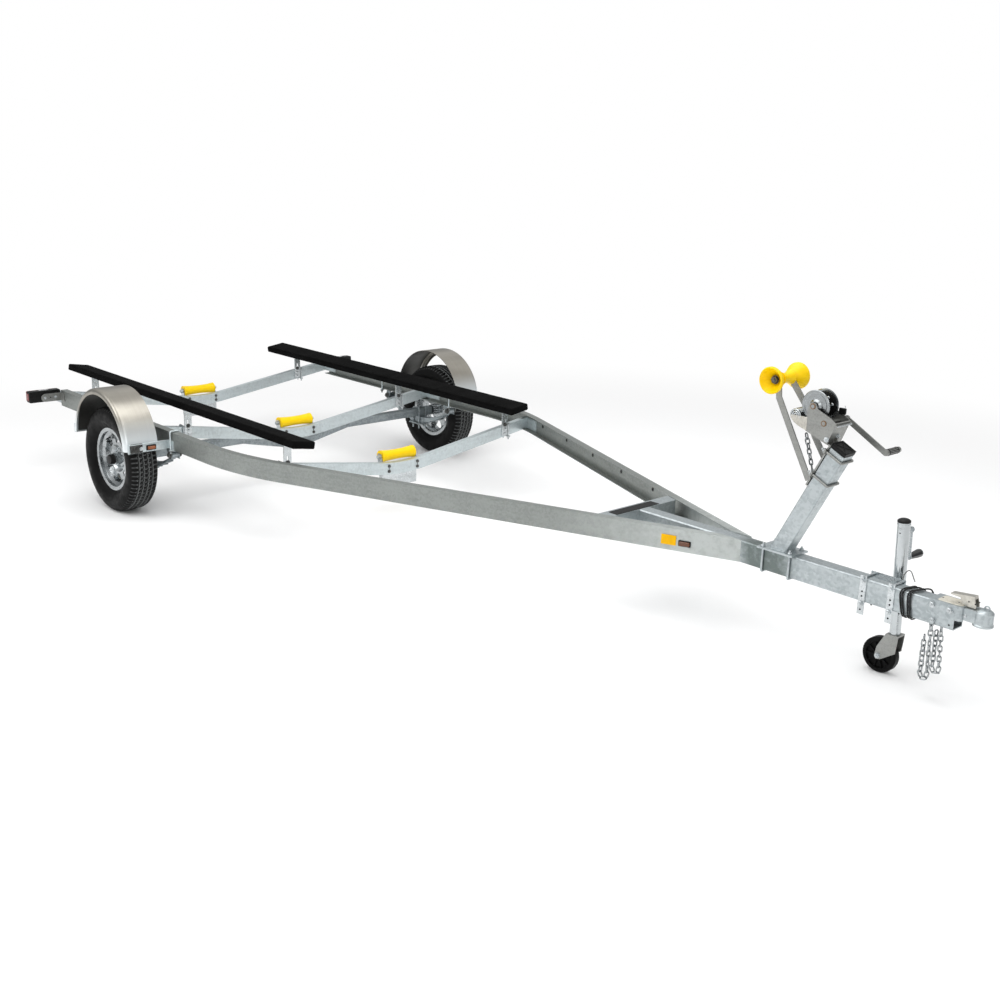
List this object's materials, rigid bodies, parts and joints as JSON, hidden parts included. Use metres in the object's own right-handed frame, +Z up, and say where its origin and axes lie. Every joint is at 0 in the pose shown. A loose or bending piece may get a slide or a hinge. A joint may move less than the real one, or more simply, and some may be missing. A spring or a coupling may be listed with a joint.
{
  "type": "boat trailer",
  "caption": "Galvanised bunk trailer for a small boat: bent side rails on V cross beams with keel rollers, leaning winch post with bow roller, swivel nose jack with caster, ball coupler.",
  "frame": {"origin": "centre of the hitch-ball socket in the coupler", "axes": "+X forward past the coupler, +Y to the trailer's left, +Z up; the frame stands nose-down by 0.97 degrees on its jack"},
  "size_m": [6.1303, 2.636, 1.2348],
  "materials": {
    "galvanised_steel": "satin",
    "zinc_plated_steel": "satin",
    "fender_sheet": "satin",
    "tyre_rubber": "matte",
    "carpet": "matte",
    "yellow_polyurethane": "satin",
    "black_plastic": "matte",
    "amber_lens": "gloss",
    "cable_sheath": "satin"
  },
  "bodies": {
    "frame": {"side_rail_right": "galvanised_steel", "side_rail_left": "galvanised_steel", "tongue": "galvanised_steel", "front_cross_member": "galvanised_steel", "step_tread": "black_plastic", "cross_beam_rear": "galvanised_steel", "cross_beam_middle": "galvanised_steel", "cross_beam_front": "galvanised_steel", "keel_roller_brackets": "zinc_plated_steel", "bunk_right": "carpet", "bunk_left": "carpet", "bunk_brackets": "zinc_plated_steel", "beam_clamps": "zinc_plated_steel", "axle_beam": "galvanised_steel", "leaf_spring_right": "galvanised_steel", "leaf_spring_left": "galvanised_steel", "spring_mounts": "galvanised_steel", "fender_right": "fender_sheet", "fender_left": "fender_sheet", "fender_arms": "galvanised_steel", "tail_lamps": "black_plastic", "tail_lamp_plates": "zinc_plated_steel", "side_markers": "amber_lens", "winch_post": "galvanised_steel", "post_cap": "black_plastic", "winch_stand": "zinc_plated_steel", "winch_frame": "zinc_plated_steel", "bow_chain": "zinc_plated_steel", "safety_chains": "zinc_plated_steel", "jack_mount": "zinc_plated_steel", "coupler": "galvanised_steel", "coupler_latch": "zinc_plated_steel", "cable_coil": "cable_sheath", "cable_plug": "black_plastic"},
    "wheel_right": {"tyre_right": "tyre_rubber", "rim_right": "galvanised_steel"},
    "wheel_left": {"tyre_left": "tyre_rubber", "rim_left": "galvanised_steel"},
    "roller_rear": {"keel_roller_rear": "yellow_polyurethane"},
    "roller_middle": {"keel_roller_middle": "yellow_polyurethane"},
    "roller_front": {"keel_roller_front": "yellow_polyurethane"},
    "bow_roller": {"bow_roller": "yellow_polyurethane"},
    "winch_drum": {"winch_drum": "zinc_plated_steel"},
    "winch_crank": {"winch_crank": "zinc_plated_steel"},
    "jack": {"jack_outer_tube": "zinc_plated_steel", "jack_cap": "black_plastic", "jack_crank": "zinc_plated_steel"},
    "jack_slide": {"jack_inner_tube": "zinc_plated_steel"},
    "caster_fork": {"jack_fork": "zinc_plated_steel"},
    "caster_wheel": {"jack_wheel": "black_plastic"}
  },
  "joints": [
    {"name": "wheel_right_spin", "type": "hinge", "parent": "frame", "child": "wheel_right", "pos_m": [-4.66187, -1.2, -0.07109], "axis": [0, 1, 0], "continuous": true},
    {"name": "wheel_left_spin", "type": "hinge", "parent": "frame", "child": "wheel_left", "pos_m": [-4.66187, 1.2, -0.07109], "axis": [0, 1, 0], "continuous": true},
    {"name": "keel_roller_rear_spin", "type": "hinge", "parent": "frame", "child": "roller_rear", "pos_m": [-5.88458, 0, 0.01562], "axis": [0, 1, 0], "continuous": true},
    {"name": "keel_roller_middle_spin", "type": "hinge", "parent": "frame", "child": "roller_middle", "pos_m": [-4.66475, 0, -0.00503], "axis": [0, 1, 0], "continuous": true},
    {"name": "keel_roller_front_spin", "type": "hinge", "parent": "frame", "child": "roller_front", "pos_m": [-3.60191, 0, -0.02303], "axis": [0, 1, 0], "continuous": true},
    {"name": "bow_roller_spin", "type": "hinge", "parent": "frame", "child": "bow_roller", "pos_m": [-0.97759, 0, 0.80066], "axis": [0, 1, 0], "continuous": true},
    {"name": "winch_crank_turn", "type": "hinge", "parent": "frame", "child": "winch_crank", "pos_m": [-0.73804, 0, 0.65359], "axis": [0, 1, 0], "continuous": true},
    {"name": "winch_drum_turn", "type": "hinge", "parent": "frame", "child": "winch_drum", "pos_m": [-0.795, 0, 0.71556], "axis": [0, 1, 0], "continuous": true},
    {"name": "jack_swivel", "type": "hinge", "parent": "frame", "child": "jack", "pos_m": [-0.41304, 0, 0.00099], "axis": [0, 1, 0], "range_deg": [0, 90]},
    {"name": "jack_lift", "type": "slide", "parent": "jack", "child": "jack_slide", "axis": [-0.0302, 0, 0.9995], "range_m": [-0.15, 0.1]},
    {"name": "caster_swivel", "type": "hinge", "parent": "jack_slide", "child": "caster_fork", "pos_m": [-0.40715, 0.098, -0.19392], "axis": [-0.0302, 0, 0.9995], "continuous": true},
    {"name": "caster_wheel_spin", "type": "hinge", "parent": "caster_fork", "child": "caster_wheel", "pos_m": [-0.46097, 0.098, -0.30009], "axis": [0, 1, 0], "continuous": true}
  ],
  "couplings": [
    {"joint": "winch_drum_turn", "follows": "winch_crank_turn", "ratio": -0.25}
  ]
}
